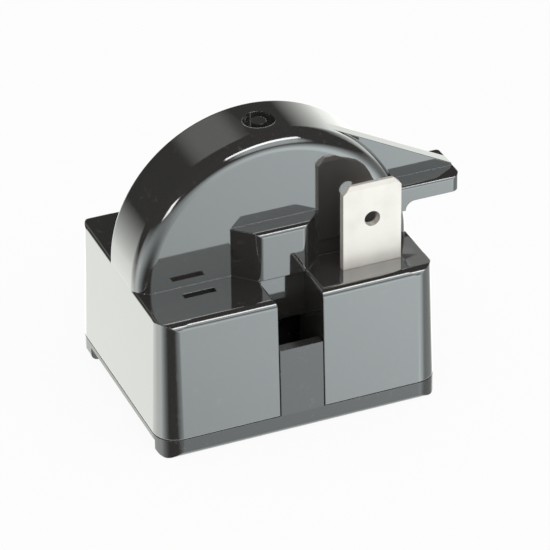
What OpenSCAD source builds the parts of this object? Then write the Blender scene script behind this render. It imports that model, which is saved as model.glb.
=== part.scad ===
/* [Lower body] */
// Depth of the ledge in front of the drum
front_ledge_d = 6.45; // [6.2:0.05:7.4]
// Depth of the ledge behind the drum
back_ledge_d = 8.85; // [8.5:0.05:12]
// Height of the ledge above the underside of the cover
ledge_h = 15.5; // [15:0.1:19]
// Thickness of the moulded walls
wall = 1.5; // [1.2:0.1:1.7]
// Draft angle of the body's upright faces
draft = 1.8; // [0.5:0.1:2.5]
// Radius of the upright corners at the ledge
corner_r = 2; // [0.8:0.1:2.4]
// Radius of the ledge's front and back edges
ledge_edge_r = 0.8; // [0.4:0.1:1.2]
// Radius of the ledge's side edges
side_edge_r = 0.3; // [0.2:0.05:0.6]

/* [Drum] */
// Room beside the ceramic disc in the drum
side_room = 3.35; // [3.2:0.05:5]
// Depth of the drum from face to back
drum_d = 7.8; // [7.6:0.05:9]
// Radius of the drum's front rim
drum_front_r = 1.75; // [0.6:0.05:1.8]
// Radius of the drum's back rim
drum_back_r = 0.6; // [0.3:0.05:1]
// Radius of the round recess at the mould's gate
gate_r = 1.65; // [1.2:0.05:2]
// Depth of the round recess at the mould's gate
gate_depth = 0.9; // [0.5:0.05:1]
// Radius of the stub that the gate leaves
gate_stub_r = 0.78; // [0.5:0.02:0.9]
// Depth of the stub's top below the drum's top
gate_stub_drop = 0.1; // [0.05:0.05:0.3]

/* [Bay] */
// Width of the bay's front face
bay_w = 5.15; // [4.9:0.05:6]
// Distance that the bay stands out from the drum's face
bay_out = 2.2; // [1.8:0.1:2.4]
// Height of the bay above the ledge
bay_h = 5.5; // [4.5:0.1:7]
// Thickness of the bay's wall
bay_wall = 1.2; // [1:0.1:1.4]
// Radius of the bay's upper edges
bay_edge_r = 0.55; // [0.2:0.05:0.8]
// Radius of the bay's upright edges
bay_corner_r = 1.05; // [0.4:0.05:1.2]

/* [Blind slot] */
// Length of the blind slot in the ledge
blind_l = 3.4; // [2:0.1:5]
// Width of the blind slot
blind_w = 0.8; // [0.4:0.05:1]
// Depth of the blind slot
blind_depth = 0.6; // [0.3:0.05:0.8]
// Place of the blind slot to the left of the middle
blind_x = 8.85; // [7:0.05:10]
// Gap between the blind slot and the drum's face
blind_gap = 1.27; // [0.5:0.01:2]

/* [Lug] */
// Reach of the lug's tip from the middle of the body
lug_reach = 20.45; // [19:0.05:23]
// Depth of the lug along the drum
lug_d = 5.6; // [4:0.1:6.5]
// Thickness of the lug
lug_t = 1.8; // [1.4:0.1:2.4]
// Height of the lug's underside above the ledge
lug_z = 3.95; // [3.5:0.05:5]
// Radius of the lug's front tip corner
lug_corner_r = 1; // [0.5:0.1:1.5]
// Radius of the lug's back tip corner
lug_back_r = 0.4; // [0.2:0.1:1]
// Radius of the lug's upper front edge
lug_edge_r = 0.35; // [0.2:0.05:0.6]
// Radius of the fillet under the lug
lug_fillet_r = 1; // [0.5:0.1:1.3]
// Thickness of the gusset on the lug
gusset_t = 1.45; // [0.8:0.05:1.8]
// Distance of the gusset behind the drum's face
gusset_setback = 2.1; // [1.5:0.05:2.4]
// Height of the gusset at the lug's tip
gusset_toe = 0.3; // [0.1:0.05:0.6]
// Distance of the gusset's toe from the lug's tip
gusset_inset = 0.15; // [0.05:0.05:0.5]

/* [Latch] */
// Width of the notch for the cover's tongue
notch_w = 4.9; // [4.6:0.1:5.5]
// Reach of the notch under the bay
notch_under = 0.65; // [0.4:0.05:0.75]
// Thickness of the wall round the notch
notch_wall = 1.2; // [0.8:0.1:1.3]
// Radius of the notch's upper edges
notch_edge_r = 0.4; // [0.2:0.05:0.6]
// Height of the opening in the notch's back wall
notch_open_h = 10.1; // [9.5:0.1:11]
// Height of the tongue's top above the underside
tongue_h = 9.8; // [9.3:0.1:11]
// Thickness of the tongue
tongue_t = 1.1; // [0.9:0.05:1.4]
// Side clearance of the tongue in the notch
tongue_clear = 0.1; // [0.05:0.01:0.2]
// Length that the tongue's barb stands out
barb_out = 0.7; // [0.5:0.05:0.9]
// Height of the tongue's barb
barb_h = 1.7; // [1.4:0.1:2]
// Height of the bar that the barb holds
bar_h = 1.2; // [0.9:0.1:1.6]
// Depth of the bar that the barb holds
bar_d = 1; // [0.8:0.1:1.3]
// Clearance between the tongue and the bar
latch_clear = 0.1; // [0.05:0.01:0.2]

/* [Cover] */
// Thickness of the cover's floor
cover_t = 2.15; // [1.9:0.05:2.4]
// Thickness of the cover's flange over the side recess
flange_t = 0.6; // [0.4:0.05:0.8]
// Depth of the recess along each side of the cover
recess_d = 1.4; // [1:0.1:1.8]
// Distance of the recess from the front
recess_front = 1.6; // [1.4:0.1:4]
// Distance of the recess from the back
recess_back = 3.3; // [2:0.1:4]
// Radius of the cover's lower edges
foot_edge_r = 0.75; // [0.5:0.05:1.1]
// Height of the cover's inner rim
rim_h = 1.4; // [1:0.1:1.5]
// Thickness of the cover's inner rim
rim_t = 1; // [0.7:0.1:1.1]
// Side clearance of the rim in the housing
rim_clear = 0.1; // [0.05:0.01:0.15]
// Gap of the parting line between housing and cover
part_gap = 0.1; // [0.05:0.01:0.2]

/* [Blade] */
// Width of the blade
blade_w = 6.3; // [6:0.05:6.4]
// Thickness of the blade
blade_t = 0.8; // [0.5:0.05:0.8]
// Height of the blade's top above the ledge
blade_h = 9.4; // [8:0.05:11]
// Distance of the blade's edge from the side of the body
blade_inset = 2.65; // [2.6:0.05:2.8]
// Distance of the blade's front behind the front of the body
blade_setback = 2.9; // [2.8:0.05:3.1]
// Size of the chamfers at the blade's top corners
blade_chamfer = 0.8; // [0.4:0.05:1.2]
// Size of the bevel along the blade's top edge
blade_bevel = 0.22; // [0.1:0.01:0.3]
// Radius of the hole in the blade
blade_hole_r = 0.85; // [0.6:0.05:1]
// Height of the blade's hole above the ledge
blade_hole_h = 5.32; // [4.5:0.01:6]
// Extra width of each shoulder under the ledge
shoulder_w = 0.5; // [0.3:0.05:0.6]
// Clearance of the blade in its slot
slot_clear = 0.06; // [0.03:0.01:0.15]

/* [Pin sockets] */
// Distance between the two pins
pin_pitch = 12.6; // [12.4:0.05:12.8]
// Distance of the pins from the back of the body
pin_back = 4.85; // [4.7:0.05:5.4]
// Radius of the bore in each socket
socket_r = 1.6; // [1.5:0.05:1.7]
// Thickness of the brass strip that is rolled into a socket
strip_t = 0.6; // [0.45:0.05:0.7]
// Length of each socket
socket_l = 10.6; // [10:0.1:10.8]
// Clearance under the end of each socket
socket_end_clear = 0.1; // [0.05:0.01:0.2]
// Length of the lead-in at the mouth of each socket
lead_in = 0.4; // [0.2:0.05:0.6]
// Angle that the roll's slit takes of the circle
slit_angle = 45; // [30:1:50]
// Width of the strip's tail
tail_w = 3.8; // [3.4:0.1:4]
// Height of the tail above the cover's floor
tail_lift = 1.3; // [1.2:0.05:1.5]
// Radius of the pin holes in the cover
pin_hole_r = 1.95; // [1.85:0.05:2.05]
// Depth of the countersink at the pin holes
sink_depth = 0.5; // [0.3:0.05:0.8]
// Height of the collar round each socket's foot
collar_h = 1; // [0.6:0.1:1.1]
// Wall of the collars and of the bosses round the sockets
collar_wall = 1; // [0.7:0.1:1.2]
// Clearance between a socket and its collar or boss
collar_clear = 0.12; // [0.05:0.01:0.2]
// Depth of each socket's seat in its boss
boss_seat = 1.6; // [1:0.1:1.8]
// Thickness of the steel clips round the sockets
clip_t = 0.4; // [0.3:0.05:0.5]
// Width of the steel clips
clip_w = 2.8; // [2:0.1:3]
// Height of the clips above the tails
clip_lift = 0.4; // [0.2:0.1:0.5]
// Angle of the gap in each clip
clip_gap_angle = 80; // [60:1:120]
// Clearance between a clip and its socket
clip_clear = 0.04; // [0.02:0.01:0.08]

/* [Ceramic disc] */
// Radius of the ceramic disc
disc_r = 10; // [9:0.1:10.2]
// Thickness of the ceramic disc
disc_t = 2.5; // [2:0.1:2.8]
// Height of the disc's centre above the drum's axis
disc_rise = 1.3; // [1:0.1:1.5]
// Size of the chamfer round the disc
disc_chamfer = 0.2; // [0.1:0.05:0.4]
// Clearance round the disc
disc_clear = 0.15; // [0.08:0.01:0.3]
// Width of the cradle under the disc
cradle_w = 9; // [6:0.1:10]
// Height of the guides beside the disc
guide_h = 4; // [3:0.1:6]
// Width of the stop over the disc
stop_w = 4.4; // [3:0.1:6]
// Margin by which cradle and guides are thinner than the disc
guide_margin = 0.15; // [0.1:0.01:0.3]

/* [Contact springs] */
// Thickness of the spring plates
spring_t = 0.4; // [0.3:0.02:0.44]
// Width of the spring plates
spring_w = 12.8; // [12:0.1:13]
// Height of the spring plates
spring_h = 13; // [11:0.1:14]
// Radius of the spring plates' corners
spring_corner_r = 1.5; // [0.8:0.1:2]
// Width of each window in a spring plate
window_w = 2.5; // [2.2:0.1:2.8]
// Height of each window in a spring plate
window_h = 9; // [7:0.1:10]
// Distance between the windows
window_pitch = 3.9; // [3.7:0.1:4]
// Width of each arched finger
finger_w = 1.8; // [1.2:0.1:2]
// Clearance between a finger and the disc
finger_clear = 0.03; // [0.02:0.01:0.06]
// Clearance behind the spring plates
plate_clear = 0.03; // [0.02:0.01:0.08]
// Width of each spring's leg
leg_w = 2.6; // [2:0.1:2.8]
// Height of each spring's riveted foot
foot_h = 3.2; // [2.9:0.1:3.4]
// Length of each spring's riveted foot
foot_l = 4; // [3.6:0.1:4.4]
// Inside radius of the bends
bend_r = 0.4; // [0.2:0.05:0.5]

/* [Rivets] */
// Radius of the rivets' shanks
rivet_r = 0.7; // [0.5:0.05:0.8]
// Radius of the rivets' heads
rivet_head_r = 1.2; // [1:0.05:1.3]
// Height of the rivets' heads
rivet_head_h = 0.5; // [0.3:0.05:0.6]
// Clearance of the rivets in their holes
rivet_clear = 0.05; // [0.03:0.01:0.1]

/* [Hidden] */
$fn = 72;
eps = 0.5;
black = [0.035, 0.033, 0.031];
brass = [0.78, 0.62, 0.30];
tin = [0.85, 0.84, 0.80];
steel = [0.62, 0.62, 0.60];
ceramic = [0.42, 0.42, 0.40];

// Body and parting line
drum_r = disc_r + side_room + wall;
body_w = 2 * drum_r;
body_d = front_ledge_d + drum_d + back_ledge_d;
front_y = -body_d / 2;
back_y = body_d / 2;
side_x = body_w / 2;
shell_z = cover_t + part_gap;
ceiling_z = ledge_h - wall;
inner_w = body_w - 2 * wall;
inner_d = body_d - 2 * wall;
slope = tan(draft);
flare = (ledge_h - shell_z) * slope;
foot_w = body_w + 2 * flare;
foot_d = body_d + 2 * flare;

// Drum
drum_z = ledge_h;
drum_face_y = front_y + front_ledge_d;
drum_back_y = drum_face_y + drum_d;
drum_mid_y = drum_face_y + drum_d / 2;
drum_top_z = drum_z + drum_r;
drum_in_r = drum_r - wall;
room_front_y = drum_face_y + wall;
room_back_y = drum_back_y - wall;
bay_face_y = drum_face_y - bay_out;

// Lug and gusset
lug_low_z = ledge_h + lug_z;
lug_top_z = lug_low_z + lug_t;
gusset_y = drum_face_y + gusset_setback;
toe_x = lug_reach - gusset_inset;
toe_z = lug_top_z + gusset_toe;
toe_far = norm([toe_x, toe_z - drum_z]);
touch_angle = atan2(toe_z - drum_z, toe_x) + acos(drum_r / toe_far);
touch_point = [drum_r * cos(touch_angle), drum_z + drum_r * sin(touch_angle)];

// Latch
notch_back_y = bay_face_y + notch_under;
tongue_front_y = front_y - (ledge_h - tongue_h) * slope;
tongue_back_y = tongue_front_y + tongue_t;
barb_z = tongue_h - barb_h;
bar_top_z = barb_z - latch_clear;
bar_y = tongue_back_y + latch_clear;

// Pin sockets
pin_x = pin_pitch / 2;
pin_y = back_y - pin_back;
socket_out_r = socket_r + strip_t;
socket_z = cover_t + socket_end_clear;
socket_top_z = socket_z + socket_l;
tail_z = cover_t + tail_lift;
tail_top_z = tail_z + tail_w;
tail_out_x = pin_x + socket_out_r;
tail_in_x = tail_out_x - strip_t;
clip_z = tail_top_z + clip_lift;
clip_in_r = socket_out_r + clip_clear;
collar_in_r = socket_out_r + collar_clear;
collar_out_r = collar_in_r + collar_wall;
boss_z = socket_top_z + collar_clear - boss_seat;

// Blade
blade_x = side_x - blade_inset - blade_w / 2;
blade_front_y = front_y + blade_setback;
blade_back_y = blade_front_y + blade_t;
blade_top_z = ledge_h + blade_h;
shoulder_top_z = ceiling_z - slot_clear;
shoulder_low_z = tail_top_z + slot_clear;
blade_foot_x = tail_out_x + blade_t;

// Disc and springs
disc_z = drum_z + disc_rise;
disc_front_y = drum_mid_y - disc_t / 2;
disc_back_y = drum_mid_y + disc_t / 2;
guide_t = disc_t - 2 * guide_margin;
front_plate_y = room_front_y + plate_clear;
back_plate_y = room_back_y - plate_clear - spring_t;
finger_rise = disc_front_y - finger_clear - front_plate_y - spring_t;
finger_half = window_h / 2;
finger_bow_r = (finger_half * finger_half + finger_rise * finger_rise) / (2 * finger_rise);
foot_z = tail_z + (tail_w - foot_h) / 2;
rivet_z = tail_z + tail_w / 2;
tail_front_y = blade_back_y + blade_t;
run_rivet_y = front_plate_y + foot_l - rivet_head_r - rivet_clear;
start_rivet_y = back_plate_y + foot_l - rivet_head_r - rivet_clear;
start_tail_front_y = back_plate_y + spring_t + bend_r;
blade_rivet_y = blade_back_y + bend_r + rivet_head_r + blade_t / 2;
blade_foot_back_y = blade_rivet_y + rivet_head_r + rivet_clear;

// Flat shapes

module rounded_rect(w, d, r) {
    square([w - 2 * r, d], center = true);
    square([w, d - 2 * r], center = true);
    for (sx = [-1, 1])
        for (sy = [-1, 1])
            translate([sx * (w / 2 - r), sy * (d / 2 - r)])
                circle(r = r);
}

module round_topped(w, h, r) {
    translate([-w / 2, 0])
        square([w, h - r]);
    translate([-w / 2 + r, 0])
        square([w - 2 * r, h]);
    for (s = [-1, 1])
        translate([s * (w / 2 - r), h - r])
            circle(r = r);
}

// An L of strip seen from above, its outer corner at the origin
module bent_strip(a, b, t, r) {
    translate([t + r, 0])
        square([a - t - r, t]);
    translate([0, t + r])
        square([t, b - t - r]);
    intersection() {
        translate([t + r, t + r])
            difference() {
                circle(r = t + r);
                circle(r = r);
            }
        square([t + r, t + r]);
    }
}

// Moves a drawing of x and height into place, extruded from y0 to y1
module front_view(y0, y1) {
    translate([0, y1, 0])
        rotate([90, 0, 0])
            linear_extrude(height = y1 - y0)
                children();
}

// Moves a drawing of y and height into place, extruded from x0 to x1
module side_view(x0, x1) {
    translate([x0, 0, 0])
        rotate([90, 0, 90])
            linear_extrude(height = x1 - x0)
                children();
}

module plan(z0, z1) {
    translate([0, 0, z0])
        linear_extrude(height = z1 - z0)
            children();
}

// A drafted outline from the parting line to the ledge, w wide at the ledge, its top corners rounded
module drafted_view(w, r) {
    round_x = w / 2 - r * tan(45 - draft / 2);
    round_z = ledge_h - r;
    touch_z = round_z + r * sin(draft);
    touch_x = w / 2 + (ledge_h - touch_z) * slope;
    polygon([
        [-w / 2 - flare, shell_z],
        [-touch_x, touch_z],
        [-round_x, ledge_h],
        [round_x, ledge_h],
        [touch_x, touch_z],
        [w / 2 + flare, shell_z]
    ]);
    for (s = [-1, 1])
        translate([s * round_x, round_z])
            circle(r = r);
}

// Housing

module body_block() {
    corner_x = side_x - corner_r;
    corner_y = back_y - corner_r;
    intersection() {
        union() {
            front_view(-corner_y, corner_y)
                drafted_view(body_w, side_edge_r);
            side_view(-corner_x, corner_x)
                drafted_view(body_d, ledge_edge_r);
            for (sx = [-1, 1])
                for (sy = [-1, 1])
                    translate([sx * corner_x, sy * corner_y, shell_z])
                        cylinder(r1 = corner_r + flare, r2 = corner_r, h = ledge_h - shell_z);
        }
        front_view(-foot_d, foot_d)
            drafted_view(body_w, side_edge_r);
        side_view(-foot_w, foot_w)
            drafted_view(body_d, ledge_edge_r);
    }
}

// Half of the drum's section, from its axis to its rim
module drum_section() {
    square([drum_r, drum_d - drum_back_r]);
    difference() {
        square([drum_r, drum_d]);
        translate([drum_r - drum_back_r, drum_d - drum_back_r])
            square([drum_r, drum_d]);
    }
    translate([drum_r - drum_back_r, drum_d - drum_back_r])
        circle(r = drum_back_r);
}

module drum_profile() {
    difference() {
        drum_section();
        difference() {
            translate([drum_r - drum_front_r, -eps])
                square([drum_front_r + eps, drum_front_r + eps]);
            translate([drum_r - drum_front_r, drum_front_r])
                circle(r = drum_front_r);
        }
    }
}

module drum_solid() {
    intersection() {
        translate([0, drum_back_y, drum_z])
            rotate([90, 0, 0])
                rotate_extrude()
                    translate([0, drum_d])
                        mirror([0, 1])
                            drum_profile();
        translate([-body_w, drum_face_y - drum_d, drum_z])
            cube([2 * body_w, 3 * drum_d, body_w]);
    }
    plan(ledge_h - ledge_edge_r - eps, drum_z)
        translate([0, drum_face_y])
            for (s = [0, 1])
                mirror([s, 0])
                    drum_profile();
}

// The bay's outline from above, each face moved in by d
module bay_plan(d, back) {
    half = bay_w / 2 - d * tan(22.5);
    y0 = bay_face_y + d;
    out = back - y0;
    polygon([[-half, y0], [half, y0], [half + out, back], [-half - out, back]]);
}

// A slab behind one upright face, with a rounded upper edge
module edge_slab() {
    translate([-body_w, 0, 0])
        side_view(0, 2 * body_w) {
            square([body_w, ledge_h + bay_h - bay_edge_r]);
            translate([bay_edge_r, 0])
                square([body_w, ledge_h + bay_h]);
            translate([bay_edge_r, ledge_h + bay_h - bay_edge_r])
                circle(r = bay_edge_r);
        }
}

// The round of an upright edge between the bay's front and a flared side
module bay_corner() {
    tangent = bay_corner_r * tan(22.5);
    difference() {
        polygon([
            [bay_w / 2 - tangent, bay_face_y - eps],
            [bay_w / 2 - tangent, bay_face_y + bay_corner_r],
            [bay_w / 2 + tangent * cos(45), bay_face_y + tangent * sin(45)],
            [bay_w / 2 + bay_corner_r, bay_face_y - eps]
        ]);
        translate([bay_w / 2 - tangent, bay_face_y + bay_corner_r])
            circle(r = bay_corner_r);
    }
}

module bay_solid() {
    intersection() {
        plan(ledge_h - eps, ledge_h + bay_h)
            difference() {
                bay_plan(0, drum_face_y + wall / 2);
                for (s = [0, 1])
                    mirror([s, 0])
                        bay_corner();
            }
        translate([0, bay_face_y, 0])
            edge_slab();
        for (s = [-1, 1])
            translate([s * bay_w / 2, bay_face_y, 0])
                rotate([0, 0, s * 45])
                    edge_slab();
    }
}

module bay_room() {
    plan(ledge_h, ledge_h + bay_h - bay_wall)
        bay_plan(bay_wall, room_front_y + eps);
}

module blind_slot() {
    translate([-blind_x - blind_l / 2, drum_face_y - blind_gap - blind_w, ledge_h - blind_depth])
        cube([blind_l, blind_w, blind_depth + eps]);
}

// The lug from above, its front on y = 0
module lug_outline() {
    start_x = drum_r - 2 * wall;
    translate([start_x, 0])
        square([lug_reach - start_x - lug_corner_r, lug_d]);
    translate([start_x, lug_corner_r])
        square([lug_reach - start_x, lug_d - lug_corner_r - lug_back_r]);
    translate([lug_reach - lug_corner_r, lug_corner_r])
        circle(r = lug_corner_r);
    translate([lug_reach - lug_corner_r - lug_back_r, lug_d / 2])
        square([lug_corner_r, lug_d / 2]);
    translate([lug_reach - lug_back_r, lug_d - lug_back_r])
        circle(r = lug_back_r);
}

// The lug's thickness, its front on y = 0, with a rounded upper front edge
module lug_section() {
    square([lug_d, lug_t - lug_edge_r]);
    translate([lug_edge_r, 0])
        square([lug_d - lug_edge_r, lug_t]);
    translate([lug_edge_r, lug_t - lug_edge_r])
        circle(r = lug_edge_r);
}

module lug_solid() {
    side_at_lug_x = sqrt(drum_r * drum_r - lug_z * lug_z);
    fillet_x = side_at_lug_x + lug_fillet_r;
    intersection() {
        plan(lug_low_z, lug_top_z)
            translate([0, drum_face_y])
                lug_outline();
        side_view(0, 2 * lug_reach)
            translate([drum_face_y, lug_low_z])
                lug_section();
    }
    front_view(drum_face_y, drum_face_y + lug_d)
        difference() {
            translate([drum_r - wall, lug_low_z - lug_fillet_r])
                square([fillet_x - drum_r + wall, lug_fillet_r + lug_t / 2]);
            translate([fillet_x, lug_low_z - lug_fillet_r])
                circle(r = lug_fillet_r);
        }
    front_view(gusset_y, gusset_y + gusset_t)
        polygon([
            [toe_x, lug_low_z + lug_t / 2],
            [toe_x, toe_z],
            touch_point,
            [0, drum_z]
        ]);
}

module housing_cavity() {
    plan(shell_z - eps, ceiling_z)
        rounded_rect(inner_w, inner_d, corner_r / 2);
    translate([0, room_back_y, drum_z])
        rotate([90, 0, 0])
            cylinder(r = drum_in_r, h = room_back_y - room_front_y);
    translate([-drum_in_r, room_front_y, ceiling_z - eps])
        cube([2 * drum_in_r, room_back_y - room_front_y, drum_z - ceiling_z + eps]);
    bay_room();
}

module disc_guides() {
    guide_x = disc_r + disc_clear;
    y0 = drum_mid_y - guide_t / 2;
    for (s = [0, 1])
        mirror([s, 0, 0])
            translate([guide_x, y0, disc_z - guide_h / 2])
                cube([drum_r - wall / 2 - guide_x - wall / 4, guide_t, guide_h]);
    translate([-stop_w / 2, y0, disc_z + disc_r + disc_clear])
        cube([stop_w, guide_t, drum_top_z - wall * 3 / 4 - disc_z - disc_r - disc_clear]);
}

module socket_bosses() {
    for (s = [-1, 1])
        translate([s * pin_x, pin_y, boss_z])
            cylinder(r = collar_out_r, h = ceiling_z - boss_z + wall / 2);
}

module socket_seats() {
    for (s = [-1, 1])
        translate([s * pin_x, pin_y, boss_z - eps])
            cylinder(r = collar_in_r, h = boss_seat + eps);
}

module notch_walls() {
    start_y = front_y + wall / 2;
    translate([-notch_w / 2 - notch_wall, start_y, shell_z])
        cube([
            notch_w + 2 * notch_wall,
            notch_back_y + notch_wall - start_y,
            ledge_h - wall / 2 - shell_z
        ]);
}

module notch_room() {
    front_view(front_y - flare - eps, bay_face_y) {
        translate([-notch_w / 2, shell_z - eps])
            square([notch_w, ledge_h - shell_z + 2 * eps]);
        for (s = [0, 1])
            mirror([s, 0])
                difference() {
                    translate([0, ledge_h - notch_edge_r])
                        square([notch_w / 2 + notch_edge_r, notch_edge_r + eps]);
                    translate([notch_w / 2 + notch_edge_r, ledge_h - notch_edge_r])
                        circle(r = notch_edge_r);
                }
    }
    translate([-notch_w / 2, front_y, shell_z - eps])
        cube([notch_w, notch_back_y - front_y, ledge_h - shell_z + eps]);
    translate([-notch_w / 2, notch_back_y - eps, shell_z - eps])
        cube([notch_w, notch_wall + 2 * eps, notch_open_h - shell_z + eps]);
}

module latch_bar() {
    translate([-notch_w / 2 - notch_wall / 2, bar_y, bar_top_z - bar_h])
        cube([notch_w + notch_wall, bar_d, bar_h]);
}

module blade_slot() {
    translate([
        blade_x - blade_w / 2 - slot_clear,
        blade_front_y - slot_clear,
        ceiling_z - eps
    ])
        cube([blade_w + 2 * slot_clear, blade_t + 2 * slot_clear, wall + 2 * eps]);
}

module gate_recess() {
    translate([0, drum_mid_y, drum_top_z - gate_depth])
        cylinder(r = gate_r, h = gate_depth + eps);
}

module gate_stub() {
    translate([0, drum_mid_y, drum_top_z - gate_depth - wall / 4])
        cylinder(r = gate_stub_r, h = gate_depth + wall / 4 - gate_stub_drop);
}

module housing() {
    color(black) {
        difference() {
            union() {
                difference() {
                    union() {
                        body_block();
                        drum_solid();
                        bay_solid();
                        lug_solid();
                    }
                    housing_cavity();
                }
                notch_walls();
                disc_guides();
                socket_bosses();
            }
            notch_room();
            socket_seats();
            blade_slot();
            blind_slot();
            gate_recess();
        }
        latch_bar();
        gate_stub();
    }
}

// Base cover

module cover_plate() {
    intersection() {
        plan(0, cover_t)
            rounded_rect(foot_w, foot_d, corner_r + flare);
        front_view(-foot_d, foot_d)
            translate([0, cover_t])
                mirror([0, 1])
                    round_topped(foot_w, cover_t, foot_edge_r);
        side_view(-foot_w, foot_w)
            translate([0, cover_t])
                mirror([0, 1])
                    round_topped(foot_d, cover_t, foot_edge_r);
    }
}

module side_recesses() {
    for (s = [0, 1])
        mirror([s, 0, 0])
            translate([foot_w / 2 - recess_d, front_y + recess_front, -eps])
                cube([
                    recess_d + eps,
                    body_d - recess_front - recess_back,
                    cover_t - flange_t + eps
                ]);
}

module cover_rim() {
    w = inner_w - 2 * rim_clear;
    d = inner_d - 2 * rim_clear;
    notch_half = notch_w / 2 + notch_wall + rim_clear;
    difference() {
        plan(cover_t - flange_t / 2, cover_t + rim_h)
            difference() {
                rounded_rect(w, d, corner_r / 2);
                square([w - 2 * rim_t, d - 2 * rim_t], center = true);
            }
        translate([-notch_half, front_y, cover_t])
            cube([2 * notch_half, body_d / 2, rim_h + eps]);
    }
}

module tongue() {
    half = notch_w / 2 - tongue_clear;
    side_view(-half, half)
        polygon([
            [front_y - flare, foot_edge_r],
            [front_y - flare, cover_t],
            [tongue_front_y, tongue_h],
            [tongue_back_y, tongue_h],
            [tongue_back_y + barb_out, barb_z],
            [tongue_back_y, barb_z],
            [tongue_back_y, foot_edge_r]
        ]);
}

module disc_cradle() {
    front_view(drum_mid_y - guide_t / 2, drum_mid_y + guide_t / 2)
        difference() {
            translate([-cradle_w / 2, cover_t - flange_t / 2])
                square([cradle_w, disc_z - disc_r - cover_t + flange_t / 2 + cradle_w / 6]);
            translate([0, disc_z])
                circle(r = disc_r + disc_clear);
        }
}

module socket_collars() {
    for (s = [-1, 1])
        translate([s * pin_x, pin_y, cover_t - flange_t / 2])
            difference() {
                cylinder(r = collar_out_r, h = collar_h + flange_t / 2);
                translate([0, 0, flange_t / 2])
                    cylinder(r = collar_in_r, h = collar_h + eps);
            }
}

// Blocks under the two tails and under the blade's foot
module cover_rests() {
    rest = 2 * collar_wall;
    h = tail_lift - socket_end_clear / 2 + flange_t / 2;
    for (s = [-1, 1])
        translate([
            s * (tail_out_x - strip_t / 2) - rest / 2,
            start_rivet_y - rest / 2,
            cover_t - flange_t / 2
        ])
            cube([rest, rest, h]);
    translate([tail_out_x - 2 * rest, blade_front_y, cover_t - flange_t / 2])
        cube([rest, blade_t, h]);
}

module pin_holes() {
    for (s = [-1, 1])
        translate([s * pin_x, pin_y, 0]) {
            translate([0, 0, -eps])
                cylinder(r = pin_hole_r, h = cover_t + 2 * eps);
            translate([0, 0, -eps])
                cylinder(r1 = pin_hole_r + sink_depth + eps, r2 = pin_hole_r, h = sink_depth + eps);
        }
}

module base_cover() {
    color(black)
        difference() {
            union() {
                difference() {
                    cover_plate();
                    side_recesses();
                }
                cover_rim();
                tongue();
                disc_cradle();
                socket_collars();
                cover_rests();
            }
            pin_holes();
        }
}

// Ceramic disc

module ceramic_disc() {
    straight_t = disc_t - 2 * disc_chamfer;
    color(ceramic)
        translate([0, disc_back_y, disc_z])
            rotate([90, 0, 0]) {
                cylinder(r1 = disc_r - disc_chamfer, r2 = disc_r, h = disc_chamfer);
                translate([0, 0, disc_chamfer])
                    cylinder(r = disc_r, h = straight_t);
                translate([0, 0, disc_t - disc_chamfer])
                    cylinder(r1 = disc_r, r2 = disc_r - disc_chamfer, h = disc_chamfer);
            }
}

// Contact springs, drawn for the front one with its back on y = 0

module spring_plate() {
    front_view(0, spring_t)
        translate([0, disc_z])
            difference() {
                rounded_rect(spring_w, spring_h, spring_corner_r);
                for (i = [-1, 0, 1])
                    translate([i * window_pitch, 0])
                        square([window_w, window_h], center = true);
            }
}

// Each finger is an arch of strip that stands in its window
module spring_fingers() {
    centre_y = spring_t + finger_rise - finger_bow_r;
    for (i = [-1, 0, 1])
        intersection() {
            translate([i * window_pitch - finger_w / 2, centre_y, disc_z])
                rotate([0, 90, 0])
                    difference() {
                        cylinder(r = finger_bow_r, h = finger_w);
                        translate([0, 0, -eps])
                            cylinder(r = finger_bow_r - spring_t, h = finger_w + 2 * eps);
                    }
            translate([-spring_w / 2, 0, disc_z - spring_h / 2])
                cube([spring_w, body_d, spring_h]);
        }
}

module spring_leg() {
    leg_top_z = disc_z - window_h / 2;
    corner_x = tail_in_x;
    leg_out_x = corner_x - spring_t - bend_r;
    translate([leg_out_x - leg_w, 0, foot_z])
        cube([leg_w, spring_t, leg_top_z - foot_z]);
    difference() {
        plan(foot_z, foot_z + foot_h)
            translate([corner_x, 0])
                mirror([1, 0])
                    bent_strip(leg_w, foot_l, spring_t, bend_r);
        translate([0, foot_l - rivet_head_r - rivet_clear, rivet_z])
            rotate([0, 90, 0])
                cylinder(r = rivet_r + rivet_clear, h = body_w);
    }
}

module front_contact_spring() {
    color(steel)
        translate([0, front_plate_y, 0]) {
            spring_plate();
            spring_fingers();
            spring_leg();
        }
}

module back_contact_spring() {
    color(steel)
        translate([0, back_plate_y, 0]) {
            spring_plate();
            translate([0, spring_t, 0])
                mirror([0, 1, 0])
                    spring_fingers();
            mirror([1, 0, 0])
                spring_leg();
        }
}

// Blade terminal

module blade_outline() {
    half = blade_w / 2;
    polygon([
        [-half, shoulder_top_z - eps],
        [-half, blade_top_z - blade_chamfer],
        [-half + blade_chamfer, blade_top_z],
        [half - blade_chamfer, blade_top_z],
        [half, blade_top_z - blade_chamfer],
        [half, shoulder_top_z - eps]
    ]);
}

module blade_side_section() {
    polygon([
        [0, 0],
        [0, blade_top_z - 2 * blade_bevel],
        [blade_bevel, blade_top_z],
        [blade_t - blade_bevel, blade_top_z],
        [blade_t, blade_top_z - 2 * blade_bevel],
        [blade_t, 0]
    ]);
}

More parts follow.
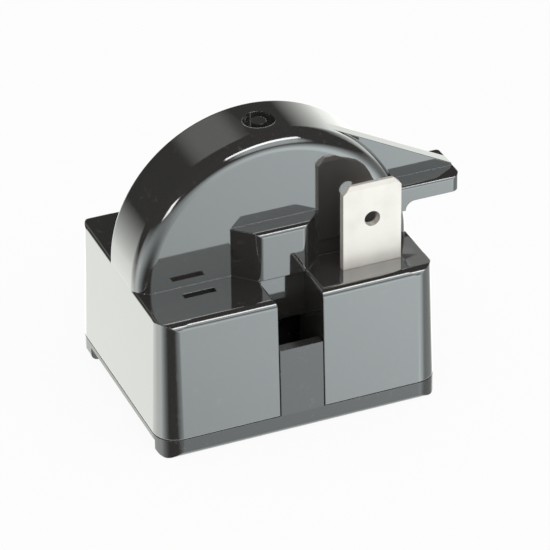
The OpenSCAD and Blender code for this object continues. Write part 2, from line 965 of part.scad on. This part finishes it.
module blade_terminal() {
    shoulder_half = blade_w / 2 + shoulder_w;
    foot_in_x = blade_x - shoulder_half;
    color(tin)
        difference() {
            union() {
                intersection() {
                    translate([blade_x, 0, 0])
                        front_view(blade_front_y, blade_back_y)
                            blade_outline();
                    translate([0, blade_front_y, 0])
                        side_view(0, body_w)
                            blade_side_section();
                }
                translate([foot_in_x, blade_front_y, shoulder_low_z])
                    cube([2 * shoulder_half, blade_t, shoulder_top_z - shoulder_low_z]);
                plan(tail_z, shoulder_low_z + eps)
                    translate([blade_foot_x, blade_front_y])
                        mirror([1, 0])
                            bent_strip(
                                blade_foot_x - foot_in_x,
                                blade_foot_back_y - blade_front_y,
                                blade_t,
                                bend_r
                            );
            }
            translate([blade_x, blade_front_y - eps, ledge_h + blade_hole_h])
                rotate([-90, 0, 0])
                    cylinder(r = blade_hole_r, h = blade_t + 2 * eps);
            translate([0, blade_rivet_y, rivet_z])
                rotate([0, 90, 0])
                    cylinder(r = rivet_r + rivet_clear, h = body_w);
        }
}

// Pin sockets, drawn for the right one with its axis at the origin

module socket_section() {
    reach = 3 * socket_out_r;
    slit_end = -10;
    slit_start = slit_end - slit_angle;
    difference() {
        circle(r = socket_out_r);
        circle(r = socket_r);
        polygon([
            [0, 0],
            [reach * cos(slit_start), reach * sin(slit_start)],
            [reach * cos(slit_end), reach * sin(slit_end)]
        ]);
    }
}

module pin_socket(tail_end_y, rivet_ys) {
    difference() {
        union() {
            plan(socket_z, socket_top_z)
                socket_section();
            plan(tail_z, tail_top_z)
                translate([socket_r, tail_end_y - pin_y])
                    square([strip_t, pin_y - tail_end_y]);
        }
        translate([0, 0, socket_z - eps])
            cylinder(
                r1 = socket_r + (lead_in + eps) * strip_t / 2,
                r2 = socket_r,
                h = lead_in + eps
            );
        for (y = rivet_ys)
            translate([0, y - pin_y, rivet_z])
                rotate([0, 90, 0])
                    cylinder(r = rivet_r + rivet_clear, h = 2 * socket_out_r);
    }
}

module run_pin_socket() {
    color(brass)
        translate([pin_x, pin_y, 0])
            pin_socket(tail_front_y, [run_rivet_y, blade_rivet_y]);
}

module start_pin_socket() {
    color(brass)
        translate([-pin_x, pin_y, 0])
            mirror([1, 0, 0])
                pin_socket(start_tail_front_y, [start_rivet_y]);
}

module socket_clip() {
    reach = 3 * socket_out_r;
    half_gap = clip_gap_angle / 2;
    plan(clip_z, clip_z + clip_w)
        difference() {
            circle(r = clip_in_r + clip_t);
            circle(r = clip_in_r);
            polygon([
                [0, 0],
                [reach * cos(-90 - half_gap), reach * sin(-90 - half_gap)],
                [reach * cos(-90 + half_gap), reach * sin(-90 + half_gap)]
            ]);
        }
}

module run_socket_clip() {
    color(steel)
        translate([pin_x, pin_y, 0])
            socket_clip();
}

module start_socket_clip() {
    color(steel)
        translate([-pin_x, pin_y, 0])
            socket_clip();
}

// Rivets

// Half of a rivet's section, with its axis upright
module rivet_section(x0, x1) {
    cap_r = (rivet_head_r * rivet_head_r + rivet_head_h * rivet_head_h) / (2 * rivet_head_h);
    translate([0, x0])
        square([rivet_r, x1 - x0]);
    intersection() {
        translate([0, x1 + rivet_head_h - cap_r])
            circle(r = cap_r);
        translate([0, x1])
            square([rivet_head_r, rivet_head_h]);
    }
    intersection() {
        translate([0, x0 - rivet_head_h + cap_r])
            circle(r = cap_r);
        translate([0, x0 - rivet_head_h])
            square([rivet_head_r, rivet_head_h]);
    }
}

module rivet(x0, x1) {
    rotate([0, 90, 0])
        rotate_extrude()
            rivet_section(x0, x1);
}

module blade_rivet() {
    color(brass)
        translate([0, blade_rivet_y, rivet_z])
            rivet(tail_in_x, blade_foot_x);
}

module run_spring_rivet() {
    color(brass)
        translate([0, run_rivet_y, rivet_z])
            rivet(tail_in_x - spring_t, tail_out_x);
}

module start_spring_rivet() {
    color(brass)
        translate([0, start_rivet_y, rivet_z])
            mirror([1, 0, 0])
                rivet(tail_in_x - spring_t, tail_out_x);
}

housing();
base_cover();
ceramic_disc();
front_contact_spring();
back_contact_spring();
blade_terminal();
run_pin_socket();
start_pin_socket();
run_socket_clip();
start_socket_clip();
blade_rivet();
run_spring_rivet();
start_spring_rivet();
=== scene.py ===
# Compressor start relay: a glossy black two-pin starter with a round drum and one blade terminal.
# The solids come ready-made with the frame; this file gives each piece its finish, and the light.
import math

import bmesh
import bpy
from mathutils import Matrix, Vector

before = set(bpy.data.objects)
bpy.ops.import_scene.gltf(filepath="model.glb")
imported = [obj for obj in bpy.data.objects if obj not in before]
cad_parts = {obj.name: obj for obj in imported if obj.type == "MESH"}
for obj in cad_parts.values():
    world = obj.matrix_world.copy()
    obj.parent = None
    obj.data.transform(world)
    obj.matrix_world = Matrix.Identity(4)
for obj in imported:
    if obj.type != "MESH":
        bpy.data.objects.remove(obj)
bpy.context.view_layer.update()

# The housing: one glossy black moulding, drum, bay, ledge and lug together, shot in a polished
# mould. The thick parts have sunk a little while cooling, the edges are a touch round, and
# handling has left hairlines and specks of dust.
housing_black = (0.034, 0.032, 0.030)
dust_grey = (0.16, 0.155, 0.15)
dust_share = 0.35
gloss_index = 2.0
coat_roughness = 0.05
edge_radius = 0.00013
sink_depth = 0.00002
hairline_depth = 0.000002


def start_group(name, given, made):
    """Starts a node group; given and made say the name and kind of each input and output."""
    group = bpy.data.node_groups.new(name, "ShaderNodeTree")
    for in_out, sockets in (("INPUT", given), ("OUTPUT", made)):
        for socket, kind in sockets.items():
            group.interface.new_socket(socket, in_out=in_out, socket_type="NodeSocket" + kind)
    values = group.nodes.new("NodeGroupInput").outputs
    results = group.nodes.new("NodeGroupOutput").inputs
    place = group.nodes.new("ShaderNodeTexCoord").outputs["Object"]
    return group, values, results, place


def stretch(tree, place, repeats, turn=(0, 0, 0)):
    """Squeezes a pattern to so many repeats per metre along x, y and z, then turns it."""
    node = tree.nodes.new("ShaderNodeMapping")
    node.inputs["Rotation"].default_value = turn
    node.inputs["Scale"].default_value = repeats
    tree.links.new(place, node.inputs["Vector"])
    return node.outputs["Vector"]


def clouds(tree, place, repeats, detail):
    """Adds a cloudy pattern, from 0 to 1, with so many patches per metre."""
    node = tree.nodes.new("ShaderNodeTexNoise")
    node.inputs["Scale"].default_value = repeats
    node.inputs["Detail"].default_value = detail
    tree.links.new(place, node.inputs["Vector"])
    return node.outputs["Fac"]


def fade(tree, value, start, end, low=0.0, high=1.0, smooth=False):
    """Goes from low to high while the value goes from start to end."""
    node = tree.nodes.new("ShaderNodeMapRange")
    if smooth:
        node.interpolation_type = "SMOOTHSTEP"
    node.inputs["From Min"].default_value = start
    node.inputs["From Max"].default_value = end
    node.inputs["To Min"].default_value = low
    node.inputs["To Max"].default_value = high
    tree.links.new(value, node.inputs["Value"])
    return node.outputs["Result"]


def reckon(tree, operation, *entries):
    """Works out one step of arithmetic; each entry is a socket or a plain number."""
    node = tree.nodes.new("ShaderNodeMath")
    node.operation = operation
    for slot, entry in zip(node.inputs, entries):
        if isinstance(entry, (int, float)):
            slot.default_value = entry
        else:
            tree.links.new(entry, slot)
    return node.outputs["Value"]


def tint(tree, share, base, over):
    """Lays one colour over another where the share is high; each is a socket or a colour."""
    node = tree.nodes.new("ShaderNodeMix")
    node.data_type = "RGBA"
    tree.links.new(share, node.inputs["Factor"])
    for slot, entry in ((node.inputs["A"], base), (node.inputs["B"], over)):
        if isinstance(entry, tuple):
            slot.default_value = (*entry, 1)
        else:
            tree.links.new(entry, slot)
    return node.outputs["Result"]


def moulded_skin():
    """Makes the group for a moulded surface: sink, haze, hairlines and a little dust."""
    group, values, results, place = start_group(
        "moulded_skin",
        given={"Colour": "Color", "Dust Colour": "Color", "Dust": "Float",
               "Roughness": "Float", "Haze": "Float"},
        made={"Colour": "Color", "Roughness": "Float", "Sink": "Float", "Hairline": "Float"},
    )
    link = group.links.new
    sink = clouds(group, place, repeats=90, detail=1)
    link(sink, results["Sink"])

    specks = fade(group, clouds(group, place, repeats=1400, detail=4), start=0.62, end=0.78)
    dust = reckon(group, "MULTIPLY", specks, values["Dust"])
    link(tint(group, dust, values["Colour"], values["Dust Colour"]), results["Colour"])

    haze = clouds(group, place, repeats=260, detail=3)
    dulled = reckon(group, "MULTIPLY_ADD", haze, values["Haze"], values["Roughness"])
    link(dulled, results["Roughness"])

    along = stretch(group, place, repeats=(60, 2600, 60), turn=(0.5, 0.9, 0.3))
    hairlines = fade(group, clouds(group, along, repeats=1, detail=2), start=0.7, end=0.8)
    link(hairlines, results["Hairline"])
    return group


def start_material(name):
    """Starts a material and returns it with its node tree and the inputs of its shader."""
    material = bpy.data.materials.new(name)
    material.use_nodes = True
    tree = material.node_tree
    return material, tree, tree.nodes["Principled BSDF"].inputs


def put_in(tree, group, values):
    """Places a shared group in a material with that material's own values."""
    node = tree.nodes.new("ShaderNodeGroup")
    node.node_tree = group
    for socket, value in values.items():
        node.inputs[socket].default_value = value
    return node.outputs


def relief(tree, height, depth, strength, over=None, cut_in=False):
    """Raises a pattern by a depth in metres, or cuts it in, over the normal given."""
    node = tree.nodes.new("ShaderNodeBump")
    node.invert = cut_in
    node.inputs["Strength"].default_value = strength
    node.inputs["Distance"].default_value = depth
    tree.links.new(height, node.inputs["Height"])
    if over:
        tree.links.new(over, node.inputs["Normal"])
    return node.outputs["Normal"]


moulded_group = moulded_skin()


def black_plastic(name, colour, roughness, haze, coat):
    """A glossy black moulding, with its unevenness from the shared group."""
    material, tree, shader = start_material(name)
    shader["IOR"].default_value = gloss_index
    shader["Coat Weight"].default_value = coat
    shader["Coat Roughness"].default_value = coat_roughness
    shader["Coat IOR"].default_value = gloss_index
    skin = put_in(tree, moulded_group, {
        "Colour": (*colour, 1),
        "Dust Colour": (*dust_grey, 1),
        "Dust": dust_share,
        "Roughness": roughness,
        "Haze": haze,
    })
    edges = tree.nodes.new("ShaderNodeBevel")
    edges.samples = 6
    edges.inputs["Radius"].default_value = edge_radius
    rounded = edges.outputs["Normal"]
    sunk = relief(tree, skin["Sink"], sink_depth, strength=1.0, over=rounded)
    marked = relief(tree, skin["Hairline"], hairline_depth, strength=0.35, over=sunk, cut_in=True)
    tree.links.new(skin["Colour"], shader["Base Color"])
    tree.links.new(skin["Roughness"], shader["Roughness"])
    tree.links.new(marked, shader["Normal"])
    tree.links.new(rounded, shader["Coat Normal"])
    return material


def dress(piece, material):
    """Gives a CAD node its finish."""
    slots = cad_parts[piece].data.materials
    slots.clear()
    slots.append(material)


housing_plastic = black_plastic(
    "housing_plastic", housing_black, roughness=0.05, haze=0.03, coat=1.0)
dress("housing", housing_plastic)

# The base cover: a second moulding of the same plastic from a less polished mould, snapped in by
# the tongue at the front. Its rail and tongue look a shade duller than the housing.
cover_black = (0.036, 0.034, 0.032)
cover_plastic = black_plastic(
    "cover_plastic", cover_black, roughness=0.12, haze=0.06, coat=0.0)
dress("base_cover", cover_plastic)

# The blade: stamped from brass strip and tinned matt, so it is nearly white, with the rolling
# lines of the strip and soft cloudy patches where the tin has set.
tin_white = (1.0, 0.945, 0.88)
tin_cloud = (0.93, 0.87, 0.80)
rolling_depth = 0.000001
line_dulling = 0.12


def rolled_strip():
    """Makes the group for rolled strip: fine lines along it and cloudy stains."""
    group, values, results, place = start_group(
        "rolled_strip",
        given={"Bright": "Color", "Stain": "Color", "Roughness": "Float"},
        made={"Colour": "Color", "Roughness": "Float", "Lines": "Float"},
    )
    link = group.links.new
    stain = fade(group, clouds(group, place, repeats=420, detail=5), start=0.45, end=0.8)
    link(tint(group, stain, values["Bright"], values["Stain"]), results["Colour"])

    along = stretch(group, place, repeats=(1800, 1800, 200))
    lines = clouds(group, along, repeats=1, detail=3)
    dulled = reckon(group, "MULTIPLY_ADD", lines, line_dulling, values["Roughness"])
    link(lines, results["Lines"])
    link(dulled, results["Roughness"])
    return group


strip_group = rolled_strip()


def strip_metal(name, bright, stain, roughness, metallic=1.0):
    """A metal rolled as strip, its lines and stains from the shared group."""
    material, tree, shader = start_material(name)
    shader["Metallic"].default_value = metallic
    strip = put_in(tree, strip_group, {
        "Bright": (*bright, 1),
        "Stain": (*stain, 1),
        "Roughness": roughness,
    })
    rolled = relief(tree, strip["Lines"], rolling_depth, strength=0.3)
    tree.links.new(strip["Colour"], shader["Base Color"])
    tree.links.new(strip["Roughness"], shader["Roughness"])
    tree.links.new(rolled, shader["Normal"])
    return material


matt_tin = strip_metal("matt_tin", tin_white, tin_cloud, roughness=0.36, metallic=0.55)
dress("blade_terminal", matt_tin)

# The pin sockets: brass strip, rolled round the two compressor pins. Bare brass, a little brown
# where fingers and heat have touched it.
brass_yellow = (0.83, 0.66, 0.36)
brass_brown = (0.62, 0.44, 0.20)
bare_brass = strip_metal("bare_brass", brass_yellow, brass_brown, roughness=0.2)
for socket in ("run_pin_socket", "start_pin_socket"):
    dress(socket, bare_brass)

# The socket clips and contact springs: tempered stainless strip, grey and springy. The clips hug
# the sockets, and the springs' fingers press on the disc.
steel_grey = (0.60, 0.60, 0.60)
steel_shade = (0.46, 0.45, 0.44)
spring_steel = strip_metal("spring_steel", steel_grey, steel_shade, roughness=0.24)
for spring in ("run_socket_clip", "start_socket_clip",
               "front_contact_spring", "back_contact_spring"):
    dress(spring, spring_steel)

# The rivets: drawn brass, headed over when the blade and the springs are fixed to the tails.
# Brighter than the strip, because heading them burnishes the metal.
rivet_yellow = (0.86, 0.70, 0.40)
rivet_brown = (0.70, 0.52, 0.26)
headed_brass = strip_metal("headed_brass", rivet_yellow, rivet_brown, roughness=0.12)
for rivet in ("blade_rivet", "run_spring_rivet", "start_spring_rivet"):
    dress(rivet, headed_brass)

# The ceramic disc: a dark pressed and fired disc, its two faces coated with silver paste, which
# stays matt and slightly grainy.
silver_dark = (0.40, 0.39, 0.37)
silver_light = (0.62, 0.61, 0.59)
paste_depth = 0.00001


def silvered_ceramic():
    """Matt silver paste over ceramic, grainy and a little uneven."""
    material, tree, shader = start_material("silvered_ceramic")
    shader["Metallic"].default_value = 0.8
    shader["Roughness"].default_value = 0.5
    place = tree.nodes.new("ShaderNodeTexCoord").outputs["Object"]
    grain = clouds(tree, place, repeats=2200, detail=3)
    tone = tint(tree, fade(tree, grain, start=0.3, end=0.7), silver_dark, silver_light)
    tree.links.new(tone, shader["Base Color"])
    tree.links.new(relief(tree, grain, paste_depth, strength=0.5), shader["Normal"])
    return material


dress("ceramic_disc", silvered_ceramic())

# The floor: a white sheet. The camera sees it nearly pure white, with a trace of the real
# shadow; reflections pass it and show the white surroundings of the world instead.
paper_white = (0.9, 0.9, 0.9)
paper_roughness = 0.9
paper_half_side = 3
white_share = 0.93
floor_mesh = bpy.data.meshes.new("floor")
sheet = bmesh.new()
bmesh.ops.create_grid(sheet, x_segments=1, y_segments=1, size=paper_half_side)
sheet.to_mesh(floor_mesh)
sheet.free()
floor = bpy.data.objects.new("floor", floor_mesh)
bpy.context.scene.collection.objects.link(floor)
floor.visible_glossy = False
floor_paper, paper_tree, paper = start_material("floor")
paper["Base Color"].default_value = (*paper_white, 1)
paper["Roughness"].default_value = paper_roughness
bright = paper_tree.nodes.new("ShaderNodeEmission")
bright.inputs["Color"].default_value = (1, 1, 1, 1)
ray = paper_tree.nodes.new("ShaderNodeLightPath")
share = reckon(paper_tree, "MULTIPLY", ray.outputs["Is Camera Ray"], white_share)
blend = paper_tree.nodes.new("ShaderNodeMixShader")
lit_paper = paper_tree.nodes["Principled BSDF"].outputs["BSDF"]
paper_surface = paper_tree.nodes["Material Output"].inputs["Surface"]
paper_tree.links.new(share, blend.inputs[0])
paper_tree.links.new(lit_paper, blend.inputs[1])
paper_tree.links.new(bright.outputs["Emission"], blend.inputs[2])
paper_tree.links.new(blend.outputs["Shader"], paper_surface)
floor.data.materials.append(floor_paper)

# The surroundings: white for the camera, and a plain soft light for the part. Reflections see a
# white table that ends in a dark room, broken by the dark stand of the camera and a gap to the
# right, and two pale patches of wall. Directions are azimuth and elevation, in degrees.
soft_light = 0.7
table_light, edge_extra, gap_light, room_dark = 1.5, 0.3, 0.3, 0.04
camera_stand = (240, -40)
right_gap = (350, -30)
far_wall, far_wall_light = (97, 37.5), 0.28
near_wall, near_wall_light = (291, 30), 1.3
front_cool = (0.90, 0.99, 1.0)
back_warm = (0.97, 1.0, 0.95)
world = bpy.data.worlds.new("studio")
world.use_nodes = True
bpy.context.scene.world = world
sky = world.node_tree
ray_direction = sky.nodes.new("ShaderNodeTexCoord").outputs["Generated"]
split = sky.nodes.new("ShaderNodeSeparateXYZ")
sky.links.new(ray_direction, split.inputs["Vector"])
rightward, backward, upward = (split.outputs[axis] for axis in "XYZ")


def toward(azimuth, elevation):
    """The direction, of length 1, at an azimuth and an elevation in degrees."""
    a, e = math.radians(azimuth), math.radians(elevation)
    return Vector((math.cos(e) * math.cos(a), math.cos(e) * math.sin(a), math.sin(e)))


def nearness(azimuth, elevation):
    """How near a ray is to a direction: 1 along it, less away from it."""
    node = sky.nodes.new("ShaderNodeVectorMath")
    node.operation = "DOT_PRODUCT"
    node.inputs[1].default_value = toward(azimuth, elevation)
    sky.links.new(ray_direction, node.inputs[0])
    return node.outputs["Value"]


def choose(switch, off, on):
    """Picks one of two strengths by a light path; each is a socket or a plain number."""
    return reckon(sky, "MULTIPLY_ADD", switch, reckon(sky, "SUBTRACT", on, off), off)


# Behind the part the table's edge rises to the right.
edge_slope = fade(sky, backward, start=0.0, end=0.3, high=0.36)
above_edge = reckon(sky, "SUBTRACT", upward, reckon(sky, "MULTIPLY", rightward, edge_slope))
table = fade(sky, above_edge, start=0.19, end=-0.26, high=table_light)
stand = fade(sky, nearness(*camera_stand), start=0.66, end=0.95, low=1.0, high=0.0)
gap = fade(sky, nearness(*right_gap), start=0.75, end=0.93, low=1.0, high=gap_light)
table = reckon(sky, "MULTIPLY", reckon(sky, "MULTIPLY", table, stand), gap)

# In front of the part the table is brighter towards its edge.
extra = fade(sky, upward, start=-0.57, end=-0.49, high=edge_extra)
in_front = fade(sky, backward, start=-0.65, end=-0.4, low=1.0, high=0.0)
table = reckon(sky, "MULTIPLY", table, reckon(sky, "MULTIPLY_ADD", extra, in_front, 1.0))

far = fade(sky, nearness(*far_wall), start=0.955, end=0.996, high=far_wall_light, smooth=True)
near = fade(sky, nearness(*near_wall), start=0.93, end=0.985, high=near_wall_light, smooth=True)
walls = reckon(sky, "ADD", far, near)
mirrored = reckon(sky, "ADD", reckon(sky, "ADD", table, room_dark), walls)

path = sky.nodes.new("ShaderNodeLightPath")
is_mirrored = path.outputs["Is Glossy Ray"]
seen = choose(is_mirrored, off=soft_light, on=mirrored)
backdrop = sky.nodes["Background"].inputs
sky.links.new(choose(path.outputs["Is Camera Ray"], off=seen, on=1.0), backdrop["Strength"])
room_tint = tint(sky, fade(sky, backward, start=-0.5, end=0.5), front_cool, back_warm)
sky.links.new(tint(sky, is_mirrored, (1, 1, 1), room_tint), backdrop["Color"])

# The lamps: two soft boxes in front, a long one to the right of the camera and a small one to
# the left. They draw the thin bright lines along the edges, and light the floor.
lamp_distance = 0.6


def soft_box(name, azimuth, elevation, width, height, radiance):
    """A rectangular lamp that faces the part; radiance 1 would look plain white."""
    lamp_data = bpy.data.lights.new(name, "AREA")
    lamp_data.shape = "RECTANGLE"
    lamp_data.size = width
    lamp_data.size_y = height
    lamp_data.energy = radiance * math.pi * width * height
    lamp = bpy.data.objects.new(name, lamp_data)
    spot = lamp_distance * toward(azimuth, elevation)
    face = (-spot).to_track_quat("-Z", "Y").to_matrix().to_4x4()
    lamp.matrix_world = Matrix.Translation(spot) @ face
    lamp.visible_camera = False
    bpy.context.scene.collection.objects.link(lamp)


soft_box("right_box", azimuth=289, elevation=46, width=0.46, height=0.11, radiance=4.2)
soft_box("left_box", azimuth=229, elevation=17, width=0.12, height=0.12, radiance=4.0)

# The camera: a long lens, to the left of the front and a third of the way up, held level but
# for a trace of roll, at the photograph's angle.
lens_mm, film_width_mm = 248.56, 36
roll = -0.698
eye = Vector((-0.122134, -0.303465, 0.218118))
aim = Vector((0.001818, -0.00055, 0.011295))
camera_data = bpy.data.cameras.new("camera")
camera_data.lens = lens_mm
camera_data.sensor_width = film_width_mm
camera_data.clip_start = 0.01
camera_data.clip_end = 10
camera = bpy.data.objects.new("camera", camera_data)
facing = (aim - eye).to_track_quat("-Z", "Y").to_matrix().to_4x4()
rolled = Matrix.Rotation(math.radians(roll), 4, "Z")
camera.matrix_world = Matrix.Translation(eye) @ facing @ rolled
bpy.context.scene.collection.objects.link(camera)
bpy.context.scene.camera = camera

# The finished picture keeps its plain colours.
bpy.context.scene.view_settings.view_transform = "Standard"
